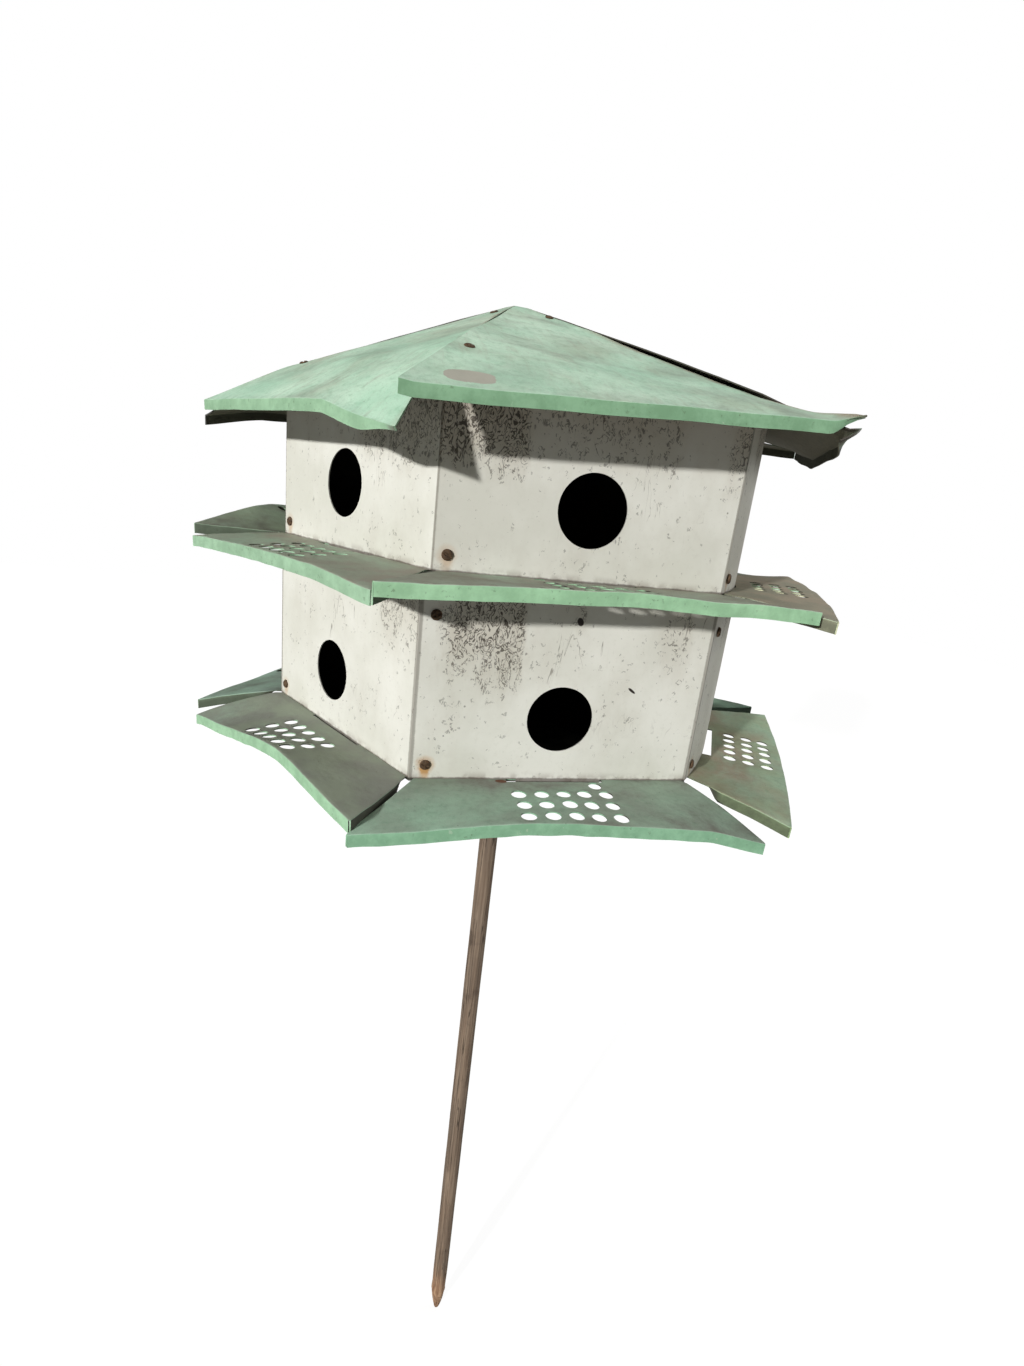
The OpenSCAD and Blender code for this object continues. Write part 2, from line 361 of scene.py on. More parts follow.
def greenPaint(name, side, twist, look):
    # look: how dirty the top is, its dirt's colour and where it gathers
    g = paintGraph(name)
    local = g.turned(g.coords, side * math.pi / 3 + twist)
    x, y = g.parts(local)[:2]
    out = y * -1.0
    nz = g.parts(g.normal)[2]
    upward = nz.step(0.55, 0.85)
    downward = nz.step(-0.35, -0.75)
    cloud = g.noise(local, 14, 4, 0.6)
    fine = g.noise(local, 170, 4, 0.65)
    grain = g.noise(local, 900, 2, 0.7)

    base = g.mix(cloud.step(0.3, 0.72), mint, look.get("tint", mintPale))
    base = g.mix(fine.step(0.46, 0.74) * 0.42, base, mintDeep)
    base = g.mix(grain.step(0.48, 0.75) * 0.22, base, srgb(120, 136, 112))

    # grime on the top: patches, more where the slopes of the gathering say
    gather = look["level"] + x * look.get("right", 0.0) + (out - look["middle"]) * look.get("far", 0.0)
    patch = g.noise(g.stretched(local, (1, 1.6, 1), (look["seed"], 0, 0)), 11, 5, 0.62, 0.6)
    dirty = (patch + gather * 0.6 - 0.5).step(-0.30, 0.34) * upward
    speckled = dirty * (fine * 0.5 + 0.68)
    dirt = g.mix(g.noise(local, 24, 3).step(0.35, 0.65), look["dirt"], look.get("dirt2", greyGrime))
    base = g.mix(speckled.math("MINIMUM", look.get("most", 0.9)), base, dirt)

    lip = 1.0 - nz.math("ABSOLUTE").step(0.35, 0.75)
    base = g.mix(lip, base, lipPaint(g, look, side, twist, local, cloud, fine))
    base = g.mix(downward, base, g.mix(fine, srgb(92, 92, 80), srgb(122, 116, 100)))

    nicks = g.cells(local, 190).step(0.16, 0.05) * g.noise(local, 45, 2).step(0.56, 0.66)
    base = g.mix(nicks * 0.55, base, srgb(82, 84, 66))

    across, far = x, out
    if "peak" in look:
        # undo the lean of the panel towards the peak, which sits off the middle
        slipX, slipY, eave, flat = look["peak"]
        share = slipY / (eave - flat)
        up = ((eave - (out + share * eave) / (1 + share)) / (eave - flat)).math("MAXIMUM", 0.0)
        across, far = x - up * slipX, out + up * slipY
    if "hips" in look:
        # brown dirt that the rain left along the two hips
        half = far * math.tan(math.pi / 6)
        near = (half - across.math("ABSOLUTE")) + g.noise(local, 60, 4, 0.7) * 0.02
        rightOnly = across.step(-0.01, 0.05) if look.get("oneHip") else 1.0
        hip = near.step(look["hips"], 0.006) * upward * rightOnly
        base = g.mix(hip * (patch.step(0.3, 0.6) * 0.6 + 0.3), base, srgb(150, 128, 108))
    if "rim" in look:
        # painted shade: a dark band along the edge that sprang up, over the gap under it
        left = (far * math.tan(math.pi / 6) + across + (fine - 0.5) * 0.003).step(0.0042, 0.0022)
        base = g.mix(left * 0.9, base, srgb(*look["rim"]))
    for px, py, long, wide, turn, tone in look.get("marks", []):
        base = g.mix(spotMask(g, x, out, px, py, long, wide, turn, fine) * upward, base, tone)
    if "bare" in look:
        # a patch where the paint has come off, with ragged sides
        px, py, wide, deep = look["bare"]
        oval = ((x - px) / wide).math("ABSOLUTE") ** 3.0 + ((out - py) / deep).math("ABSOLUTE") ** 3.0
        ragged = (g.noise(local, 95, 4, 0.7) - 0.5) * 1.1
        bare = (oval + ragged).step(1.04, 0.92) * upward
        base = g.mix(bare, base, g.mix(fine, srgb(158, 156, 142), srgb(176, 172, 158)))
    if "streaks" in look:
        streak = g.noise(g.stretched(local, (6, 0.7, 1)), 26, 4, 0.7).step(0.5, 0.75)
        base = g.mix(streak * upward * look["streaks"], base, srgb(158, 160, 140))

    rough = fine * 0.12 + 0.62
    height = g.noise(local, 30, 3) * 1.0 + fine * 0.10 + grain * 0.05
    return g.finish(base, rough, height, 0.0016)


def whitePaint(name, side, twist, foot, tall, look):
    g = paintGraph(name)
    local = g.turned(g.coords, side * math.pi / 3 + twist)
    x, y, z = g.parts(local)
    up = (z - foot) / tall                       # 0 at the foot of the wall, 1 at its top
    outward = place(side, 0, 1, 0, twist)
    facing = g.node("ShaderNodeVectorMath", {"operation": "DOT_PRODUCT"},
                    {0: g.normal, 1: tuple(outward)})
    shadedInside = Wire(g, facing.outputs["Value"]).step(0.2, -0.2)
    cloud = g.noise(local, 13, 4, 0.6)
    fine = g.noise(local, 240, 3, 0.7)

    base = g.mix(cloud.step(0.3, 0.7), srgb(230, 229, 219), srgb(216, 215, 203))
    base = g.mix(fine.step(0.5, 0.85) * 0.25, base, srgb(196, 193, 178))

    # mildew: short dark strokes, thick in a few fields and scarce elsewhere
    wave = g.noise(g.stretched(local, (1, 1, 0.4), (look["seed"], 0, 0)), 34, 4, 0.7) - 0.5
    dense = None
    for left, right, low, fade, strength in look["fields"]:
        inX = (x - left + wave * 0.05).step(0.0, 0.02) * (right - x + wave * 0.016).step(0.0, 0.009)
        field = inX * (up - low + wave * 0.7).step(0.0, fade) * strength
        dense = field if dense is None else dense.math("MAXIMUM", field)
    fieldNoise = g.noise(g.stretched(local, (1, 1, 0.5), (look["seed"], 3, 0)), 24, 4, 0.65)
    dense = dense.math("MAXIMUM", fieldNoise.step(0.46, 0.75) * look["loose"])
    strokes = g.stretched(local, (1, 1, 0.6), (0, look["seed"], 0))
    worm = abs(g.noise(strokes, 150, 2, 0.5, 2.4) - 0.5)
    breaks = g.noise(local, 170, 3, 0.6)
    worms = worm.step(0.052, 0.024) * (breaks + dense * 0.37 - 0.63).step(0.0, 0.05)
    specks = g.cells(g.stretched(local, (1, 1, 0.5)), 520).step(0.36, 0.24)
    specks = specks * (g.noise(local, 420, 2) + dense * 0.26 - 0.73).step(0.0, 0.05)
    mildew = (worms + specks * 0.6).math("MINIMUM", 1.0)

    # a tan haze that came down from the eaves and lies where the mildew does
    haze = (up + cloud * 0.5 - look["haze"]).step(0.0, 0.55)
    base = g.mix(haze * 0.5, base, srgb(190, 170, 148))
    base = g.mix(dense * 0.42, base, srgb(164, 150, 130))
    base = g.mix(mildew * (dense * 0.45 + 0.42), base, srgb(54, 44, 34))

    # thin drips and scratches here and there
    drip = abs(g.noise(g.stretched(local, (1, 1, 0.22)), 52, 3, 0.6, 1.2) - 0.5)
    drips = drip.step(0.010, 0.003) * g.noise(local, 21, 3).step(0.56, 0.64) * up.step(0.15, 0.5)
    base = g.mix(drips * 0.6, base, srgb(92, 78, 64))
    loose = g.cells(local, 74).step(0.075, 0.045) * g.noise(local, 33, 2).step(0.56, 0.62)
    base = g.mix(loose * 0.7, base, srgb(92, 86, 76))

    for px, pz, long, wide, turn in look.get("marks", []):
        base = g.mix(spotMask(g, x, z - foot, px, pz, long, wide, turn, fine), base, srgb(48, 42, 38))

    # rust that ran from the screws
    for px, pz, run in look["screws"]:
        beside = (x - px + (fine - 0.5) * 0.006).math("ABSOLUTE")
        below = (z - foot - pz) * -1.0
        ring = ((beside * beside) + (below * below)).math("SQRT").step(0.0095, 0.0045)
        tail = beside.step(0.0055, 0.001) * below.step(-0.003, 0.002) * below.step(run, run * 0.3)
        rust = (ring * 0.5 + tail * 0.7).math("MINIMUM", 1.0) * look["rust"]
        base = g.mix(rust * (cloud * 0.5 + 0.6), base, srgb(190, 136, 58))

    # grey foot where splashes dried, and painted shade: the back of the sheet, inside the house, is near
    # black
    splashed = up.step(0.05, 0.0) * g.noise(local, 90, 3).step(0.4, 0.62)
    base = g.mix(splashed * 0.5, base, srgb(136, 126, 112))
    corner = (x.math("ABSOLUTE") - wallWidth / 2 + (fine - 0.5) * 0.001).step(-0.0030, -0.0018)
    base = g.mix(corner * 0.55, base, srgb(96, 86, 74))
    # painted shade: a dark brown line along the foot where the wall meets the porch, with some stain
    shadedFoot = (up + (g.noise(local, 70, 3, 0.7) - 0.5) * 0.02).step(0.012, 0.003)
    base = g.mix(shadedFoot * 0.75, base, srgb(74, 62, 52))
    # painted shade on the inner faces of the wall
    base = g.mix(shadedInside, base, srgb(40, 40, 39))

    rough = fine * 0.1 + 0.58
    height = g.noise(local, 9, 2) * 1.6 + cloud * 0.25 + fine * 0.04
    return g.finish(base, rough, height, 0.0018)


def rustySteel(name, dark, warm):
    g = paintGraph(name)
    spots = g.noise(g.coords, 420, 4, 0.7)
    base = g.mix(spots.step(0.35, 0.68), dark, warm)
    base = g.mix(g.noise(g.coords, 900, 3, 0.7).step(0.58, 0.7), base, srgb(122, 84, 52))
    return g.finish(base, spots * 0.25 + 0.6, spots, 0.0004, metal=0.15)


def oldWood(name):
    g = paintGraph(name)
    z = g.parts(g.coords)[2]
    grain = g.noise(g.stretched(g.coords, (1, 1, 0.035)), 330, 5, 0.65, 0.4)
    broad = g.noise(g.stretched(g.coords, (1, 1, 0.09)), 60, 3, 0.6)
    base = g.ramp(grain, [(0.22, srgb(74, 60, 48)), (0.42, srgb(116, 97, 80)),
                          (0.58, srgb(140, 121, 102)), (0.8, srgb(168, 150, 130))])
    base = g.mix(broad.step(0.35, 0.68) * 0.55, base, srgb(104, 92, 80))
    stain = g.noise(g.coords, 26, 4, 0.6).step(0.56, 0.68)
    base = g.mix(stain * 0.4, base, srgb(78, 64, 54))
    # paler and frayed where the ground and the knife wore it
    pale = (z + broad * 0.05).step(0.135, 0.075)
    fresh = g.mix(grain.step(0.35, 0.62), srgb(128, 92, 66), srgb(186, 150, 118))
    base = g.mix(pale * 0.85, base, fresh)
    crack = abs(g.noise(g.stretched(g.coords, (1, 1, 0.02)), 150, 2, 0.5, 0.6) - 0.5).step(0.014, 0.004)
    base = g.mix(crack * 0.7, base, srgb(46, 36, 28))
    return g.finish(base, grain * 0.15 + 0.72, grain - crack * 0.8, 0.0009)


def plainPaint(name, light, dark, scale=180):
    g = paintGraph(name)
    cloud = g.noise(g.coords, scale, 4, 0.7)
    return g.finish(g.mix(cloud.step(0.35, 0.7), light, dark), cloud * 0.1 + 0.6, cloud, 0.0006)


def wallLook(storey, side):
    # fields of mildew: left and right ends, lowest height, how softly it ends, how thick it is;
    # loose: how much lies elsewhere; marks: place, half sizes and turn of single dark spots
    looks = {
        ("lower", 0): {"haze": 1.05, "seed": 3.1, "loose": 0.34,
                       "fields": [(-112 * mm, -34 * mm, 0.36, 0.40, 1.0),
                                  (66 * mm, 106 * mm, 0.35, 0.5, 0.42),
                                  (-6 * mm, 12 * mm, 0.70, 0.2, 0.5)],
                       "marks": [(56 * mm, 80 * mm, 4 * mm, 1.1 * mm, -0.6),
                                 (4 * mm, 134 * mm, 2.6 * mm, 3.4 * mm, 0.4)]},
        ("upper", 0): {"haze": 0.72, "seed": 5.7, "loose": 0.36,
                       "fields": [(-140 * mm, -50 * mm, 0.38, 0.35, 1.0),
                                  (-60 * mm, 30 * mm, 0.74, 0.3, 0.66),
                                  (-118 * mm, 66 * mm, 0.34, 0.5, 0.44),
                                  (94 * mm, 130 * mm, 0.4, 0.4, 0.62)]},
        ("lower", 5): {"haze": 1.1, "seed": 8.2, "loose": 0.26,
                       "fields": [(52 * mm, 130 * mm, 0.42, 0.5, 0.62)]},
        ("upper", 5): {"haze": 0.80, "seed": 1.4, "loose": 0.34,
                       "fields": [(6 * mm, 130 * mm, 0.34, 0.4, 0.72),
                                  (-130 * mm, 130 * mm, 0.80, 0.25, 0.6)]},
    }
    plain = {"haze": 0.95, "seed": 2.0 + side * 1.9, "loose": 0.34,
             "fields": [(-100 * mm, -20 * mm, 0.55, 0.4, 0.7), (30 * mm, 90 * mm, 0.72, 0.3, 0.5)]}
    return dict(looks.get((storey, side), plain))


screwInset = 12 * mm
highScrew = 132 * mm
screwHeights = {"lower": [screwInset, highScrew], "upper": [screwInset]}    # above the wall's foot
rustRun = 24 * mm
screwHead = {"radius": 4.25 * mm, "rise": 2.6 * mm, "slot": 1.3 * mm, "slotDeep": 1.4 * mm,
             "slotSide": 0.25 * mm}


def paintWalls():
    for storey, (twist, apothem, floorTop) in storeys.items():
        foot = floorTop + house["sheet"]
        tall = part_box(storey + "_wall_front")[1].z - foot
        for side, name in enumerate(sideNames):
            look = wallLook(storey, side)
            look["rust"] = 1.0 if (storey, side) == ("lower", 0) else 0.5
            left = -wallWidth / 2 + screwInset
            look["screws"] = [(left, screwInset, rustRun)]
            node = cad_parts[f"{storey}_wall_{name}"]
            material = whitePaint(f"white paint {storey} {name}", side, twist, foot, tall, look)
            node.data.materials.clear()
            node.data.materials.append(material)


paintWalls()
print("walls painted")


porch = {
    "depth": 73 * mm,          # from the wall to the outer edge
    "seat": 20 * mm,           # strip under the wall
    "flat": 6 * mm,            # level stretch before the bend
    "lip": 10 * mm,
    "sideLip": 9.5 * mm,
    "gap": 3 * mm,
    "fold": 1.1 * mm,          # radius of every fold
    "hole": 12 * mm,
    "holeStart": 27 * mm,
    "holePitch": 18 * mm,
    "rowPitch": 17.5 * mm,
    "oddHole": (32 * mm, 12 * mm, 5.52 * mm),     # an extra one at the wall: across, out, radius
    "slot": (83 * mm, 5 * mm),
    # one slot is torn wider, one mostly closed by the wall's foot
    "slotDepths": {("lower", 1): 9 * mm, ("lower", 5): 2.5 * mm},
    "slip": {"lower": 13 * mm, "upper": 10 * mm},
    "bow": {("lower", 1): 5 * mm, ("upper", 1): 9 * mm},        # edges pushed out in the middle
    "wider": {("lower", 0): 7 * mm, ("upper", 0): 5 * mm},      # left ends that reach under the next porch
}

# outer edge of each porch: across in mm, height in mm
lowerEdges = [
    [(-162, -8), (-90, -3), (-40, 0), (0, 0), (45, -3), (82, -6), (108, -8), (162, -21)],
    [(-162, -4), (-90, -3), (0, -3), (90, -4), (162, -4)],
    [(-162, 2), (-140, 1.5), (-108, -2), (0, -3), (82, -1), (162, -2)],
    [(-162, -2), (-80, 0), (0, 1), (80, -1), (162, -5)],
    [(-162, -5), (-82, -6), (0, -8), (82, -11), (162, -13)],
    [(-162, -27), (-95, -15), (-60, -8), (0, 4), (40, 9.5), (68, 9.5), (85, 7), (130, 3), (162, 1)],
]
upperEdges = [
    [(-160, -0.5), (-80, 3), (0, 5), (80, 4), (160, 2)],
    [(-160, -4), (-80, -1), (0, 1), (80, 2), (160, 3)],
    [(-160, -2), (-80, -1), (0, 0), (80, -1), (160, -3)],
    [(-160, -3), (-80, -1), (0, 0), (80, 0), (160, -2)],
    [(-160, -3), (-80, 8), (-20, 18), (19, 21.5), (44, 22), (76, 18), (120, 10), (160, 1)],
    [(-160, -10), (-80, -5), (0, -2.5), (80, -2), (160, -7)],
]


def porchHeight(knots, across, out, apothem, seed):
    # height of the top face, in metres, over the seat
    bend = apothem + porch["flat"]
    edge = apothem + porch["depth"]
    if out <= bend:
        return 0.0
    t = (out - bend) / (edge - bend)
    rim = softKnots(knots, across / mm * (edge / out)) * mm
    wobble = dent(across, out, seed, 0.045, 1.1 * mm) + dent(across, out, seed + 4, 0.016, 0.3 * mm)
    return rim * (0.35 * t * t + 0.65 * t) + wobble * smooth(t * 1.6)


def porchMesh(name, storey, side, knots):
    twist, apothem, floorTop = storeys[storey]
    slip = porch["slip"][storey] if side == 1 else 0.0
    top = floorTop + house["sheet"]
    bend = apothem + porch["flat"]
    edge = apothem + porch["depth"]
    radius = porch["fold"]
    seed = side + (10 if storey == "upper" else 0)

    def mainPoint(u, out):
        half = out * math.tan(math.pi / 6) - porch["gap"]
        grown = smooth((out - bend) / porch["depth"])
        across = u * half - porch["wider"].get((storey, side), 0.0) * max(0.0, -u) * grown
        bow = porch["bow"].get((storey, side), 0.0) * (1 - u * u) * grown
        return across, out + bow, porchHeight(knots, across, out, apothem, seed)

    # rows run from the seat to the edge and down the lip, columns from flange to flange
    outs = spread(apothem - porch["seat"], bend, 5) + spread(bend, edge - radius, 24)[1:]
    rows = [(out, 0.0, 0.0) for out in outs]
    rows += [(edge - radius, away, down) for away, down in fold(radius, porch["lip"])]
    main = [(u, 0.0, 0.0) for u in spread(-1, 1, 61)]
    flange = fold(radius, porch["sideLip"])
    columns = ([(-1, away, down) for away, down in reversed(flange)] + main
               + [(1, away, down) for away, down in flange])

    def pointAt(row, column):
        out, rowAway, rowDown = row
        u, sideAway, sideDown = column
        shrink = smooth((out - bend) / (12 * mm))          # flanges start beyond the bend
        sideAway, sideDown = sideAway * shrink, sideDown * shrink
        across, far, height = mainPoint(u, out)
        sign = 1 if u > 0 else -1
        across += sign * (sideAway - (radius if abs(u) == 1 else 0) * 0.9) * math.cos(math.pi / 6)
        far += -sideAway * 0.5 + rowAway
        lean = dent(across, 0, seed + 9, 0.03, 0.9 * mm) * (rowDown / porch["lip"])
        far -= abs(lean)
        height -= sideDown + rowDown * (1 + 0.05 * noise.noise(Vector((across * 60, seed, 0))))
        return place(side, across, far + slip, top + height, twist)

    def missing(rowA, rowB, colA, colB):
        corner = rowB[2] > 0 and max(colA[2], colB[2]) > 0
        level = rowB[0] <= bend + 0.1 * mm and max(colA[2], colB[2]) > 0
        return corner or level

    mesh = sheetGrid(name, rows, columns, pointAt, missing)
    tool = porchPunches(name, storey, side, slip, seed)
    mesh = applied(name, mesh, [
        ("SOLIDIFY", {"thickness": house["sheet"], "offset": -1, "use_even_offset": True}),
        ("BOOLEAN", {"operation": "DIFFERENCE", "object": tool, "solver": "EXACT",
                     "use_self": False})])
    bpy.data.objects.remove(tool)
    keepInside(mesh)
    sharpen(mesh)
    return mesh


def porchPunches(name, storey, side, slip, seed):
    # drain holes and the slot behind the wall's foot are punched straight down
    twist, apothem, floorTop = storeys[storey]
    top = floorTop + house["sheet"]
    rng = random.Random(100 + seed)
    cutter = bmesh.new()
    reach = 60 * mm

    def punch(across, out, size):
        where = place(side, across, out + slip, top, twist)
        bmesh.ops.create_cone(cutter, cap_ends=True, segments=28, radius1=size, radius2=size,
                              depth=reach, matrix=Matrix.Translation(where))

    for row in range(3):
        for column in range(-2, 3):
            punch(column * porch["holePitch"] + rng.uniform(-0.5, 0.5) * mm,
                  apothem + porch["holeStart"] + row * porch["rowPitch"] + rng.uniform(-0.5, 0.5) * mm,
                  porch["hole"] / 2 * rng.uniform(0.96, 1.02))
    if (storey, side) == ("lower", 0):
        across, out, size = porch["oddHole"]
        punch(across, apothem + out, size)
    long, deep = porch["slot"]
    deep = porch["slotDepths"].get((storey, side), deep)
    middle = place(side, 0, apothem + (deep - house["sheet"]) / 2 + slip, top, twist)
    turn = Matrix.Rotation(side * math.pi / 3 + twist, 4, "Z")
    size = Matrix.Diagonal((long, deep + house["sheet"], reach, 1))
    bmesh.ops.create_cube(cutter, size=1, matrix=Matrix.Translation(middle) @ turn @ size)
    cutMesh = bpy.data.meshes.new(name + " punches")
    cutter.to_mesh(cutMesh)
    cutter.free()
    tool = bpy.data.objects.new(name + " punches", cutMesh)
    scene.collection.objects.link(tool)
    return tool


def porchLook(storey, side):
    apothem = storeys[storey][1]
    looks = {
        ("lower", 0): {"level": 0.14, "right": 1.6, "far": -1.5, "dirt": srgb(140, 150, 134),
                       "dirt2": srgb(122, 114, 108), "tint": srgb(174, 200, 178), "seed": 0.3,
                       "lip": srgb(128, 172, 138)},
        ("lower", 5): {"level": 0.5, "right": 0.4, "far": -2.0, "dirt": srgb(144, 142, 134),
                       "dirt2": srgb(158, 164, 146), "seed": 1.3, "tint": srgb(160, 190, 165),
                       "lip": srgb(146, 184, 148)},
        ("lower", 1): {"level": 0.14, "right": -0.6, "far": -4.5, "dirt": srgb(170, 146, 128),
                       "dirt2": srgb(146, 142, 116), "seed": 2.6, "tint": srgb(178, 198, 162),
                       "lip": srgb(134, 156, 120)},
        ("lower", 4): {"level": 0.05, "right": 0.6, "far": -3.0, "dirt": srgb(150, 166, 154),
                       "seed": 3.7, "tint": srgb(174, 200, 186), "lip": srgb(128, 148, 122)},
        ("lower", 2): {"level": 0.2, "right": 0.4, "far": -2.0, "dirt": srgb(74, 98, 82),
                       "seed": 5.7, "tint": srgb(86, 122, 100), "lip": srgb(92, 134, 112)},
        ("upper", 0): {"level": 0.35, "right": 0.5, "far": 1.0, "dirt": srgb(158, 158, 142),
                       "dirt2": srgb(146, 136, 122), "seed": 6.9, "lip": srgb(148, 190, 150)},
        ("upper", 5): {"level": 0.3, "right": 0.9, "far": -2.5, "dirt": srgb(164, 172, 152),
                       "dirt2": srgb(160, 148, 134), "seed": 8.1, "tint": srgb(180, 204, 180),
                       "lip": srgb(146, 180, 148)},
        ("upper", 1): {"level": 0.85, "right": 0.0, "far": -1.0, "dirt": srgb(172, 154, 134),
                       "dirt2": srgb(150, 142, 124), "seed": 9.4, "tint": srgb(170, 186, 160),
                       "lip": srgb(134, 168, 132)},
        ("upper", 4): {"level": 0.2, "right": 1.2, "far": -1.0, "dirt": srgb(146, 158, 132),
                       "seed": 10.2, "tint": srgb(168, 192, 164), "lip": srgb(122, 146, 120)},
    }
    plain = {"level": 0.3, "right": 0.3, "far": -1.5, "dirt": srgb(128, 134, 118), "seed": 4.4 + side}
    look = dict(looks.get((storey, side), plain))
    if (storey, side) == ("lower", 0):
        look["marks"] = [(-46 * mm, apothem + 4 * mm, 5 * mm, 3 * mm, 0.1, srgb(104, 68, 50))]
    # the two near-black flange colours are painted shade
    flanges = {("lower", 5): [(1, srgb(66, 68, 60))], ("upper", 0): [(-1, srgb(44, 44, 40))],
               ("upper", 1): [(-1, srgb(176, 176, 146))], ("lower", 1): [(-1, srgb(134, 154, 112))]}
    look["flanges"] = flanges.get((storey, side), [])
    look["middle"] = apothem + 35 * mm
    return look


def makePorches():
    for storey, edges in (("lower", lowerEdges), ("upper", upperEdges)):
        twist = storeys[storey][0]
        for side, name in enumerate(sideNames):
            node = f"{storey}_porch_{name}"
            mesh = porchMesh(f"{node}_sheet", storey, side, edges[side])
            material = greenPaint(f"green paint {node}", side, twist, porchLook(storey, side))
            newPiece(f"{node}_sheet", mesh, material, "green_paint", node)
        print(storey, "porches folded")


makePorches()


roof = {
    "pitch": math.radians(22.8),
    "overhang": 61 * mm,
    "lip": 9 * mm,
    "peakFlat": 12 * mm,
    "peakSlip": 28 * mm,
    "hipGap": 0.4 * mm,
    "fold": 1.4 * mm,
    "lift": 3 * mm,                 # the front-right panel stands this far off its wall
    "screws": [(-105 * mm, 196 * mm), (8 * mm, 46 * mm)],
    "gape": 1.6 * mm,               # how far its left edge has sprung up off the front panel
    "tornReach": 34 * mm,           # the torn corner at that edge's end is turned up this far in
    "tornRise": 5 * mm,
}
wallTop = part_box("upper_wall_front")[1].z
roofWallZ = wallTop + 0.2 * mm + house["sheet"] / math.cos(roof["pitch"])
peakZ = roofWallZ + (upperApothem - roof["peakFlat"]) * math.tan(roof["pitch"])
eaveZ = roofWallZ - roof["overhang"] * math.tan(roof["pitch"])
eaveOut = upperApothem + roof["overhang"]

# height of each eave over a true cone: across in mm, height in mm
eaves = [
    [(-154, -9), (-77, -5), (0, 0), (77, 4), (154, 9)],
    [(-154, 0), (-110, -3), (-77, -2), (0, -2), (77, 8), (154, 20)],
    [(-154, 20), (-77, 26), (0, 26), (77, 18), (154, 8)],
    [(-154, 8), (-77, 3), (0, 0), (77, -2), (154, -2)],
    [(-154, 0), (-77, 0), (0, -3), (77, -10), (154, -25)],
    [(-154, -11), (-77, -13), (0, -15), (63, -17), (154, -19)],
]
flap = {"start": (63 * mm, eaveOut), "end": (128 * mm, 226 * mm), "slope": 0.34}
curl = {"reach": 26 * mm, "rise": 6 * mm, "over": 11 * mm}      # of the front panel's right corner
# ridges pressed into the front panel: a point on each, its lean, height, half width and soft end
creases = [
    {"across": -118 * mm, "out": 190 * mm, "lean": -0.55, "high": 2.2 * mm, "wide": 16 * mm,
     "fade": 90 * mm, "over": 60 * mm},
    {"across": 30 * mm, "out": 60 * mm, "lean": 0.9, "high": 1.5 * mm, "wide": 10 * mm,
     "fade": 170 * mm, "over": -60 * mm},
]


def peakShift(side):
    angle = side * math.pi / 3 + house["upperTwist"]
    return Vector((-math.cos(angle), math.sin(angle))) * roof["peakSlip"]


def roofPoint(side, u, out, seed):
    # top face of a panel: across, out and height
    half = out * math.tan(math.pi / 6) - roof["hipGap"]
    across = u * half
    lift = roof["lift"] if side == 1 else 0.0
    wallZ = roofWallZ + lift
    if out >= upperApothem:
        t = (out - upperApothem) / roof["overhang"]
        rim = eaveZ + softKnots(eaves[side], u * 154, 6) * mm
        height = wallZ + (rim - wallZ) * t
        shift = Vector((0, 0))
    elif out > roof["peakFlat"]:
        t = (upperApothem - out) / (upperApothem - roof["peakFlat"])
        height = wallZ + (peakZ - wallZ) * t
        shift = peakShift(side) * t
    else:
        height = peakZ
        shift = peakShift(side)
    away = smooth(min(1.0, (out - roof["peakFlat"]) / (40 * mm)))
    height += away * (dent(across, out, seed, 0.07, 1.3 * mm)
                      + dent(across, out, seed + 3, 0.022, 0.25 * mm))
    if side == 5:
        # the front corner of this panel is bent down along a crease
        (sx, sy), (ex, ey) = flap["start"], flap["end"]
        long = math.hypot(ex - sx, ey - sy)
        beyond = ((across - sx) * (sy - ey) + (out - sy) * (ex - sx)) / long
        if beyond > 0:
            height -= beyond * flap["slope"]
    if side == 1:
        # its left edge gapes over the front panel, most in the middle of the hip
        along = (out - roof["peakFlat"]) / (eaveOut - roof["peakFlat"])
        if 0.10 < along < 0.96:
            rise = math.sin(math.pi * (along - 0.10) / 0.86) ** 0.8
            height += roof["gape"] * rise * smooth((-u - 0.62) / 0.38)
        # its torn corner is turned up and out
        torn = smooth((-u - 0.88) / 0.12) * smooth((out - eaveOut) / roof["tornReach"] + 1)
        height += torn * roof["tornRise"]
    if side == 0:
        for crease in creases:
            off = abs(across - crease["across"] - (out - crease["out"]) * crease["lean"])
            share = max(0.0, 1 - off / crease["wide"])
            height += crease["high"] * share * smooth((out - crease["fade"]) / crease["over"]) * away
    return across + shift.x, out - shift.y, height


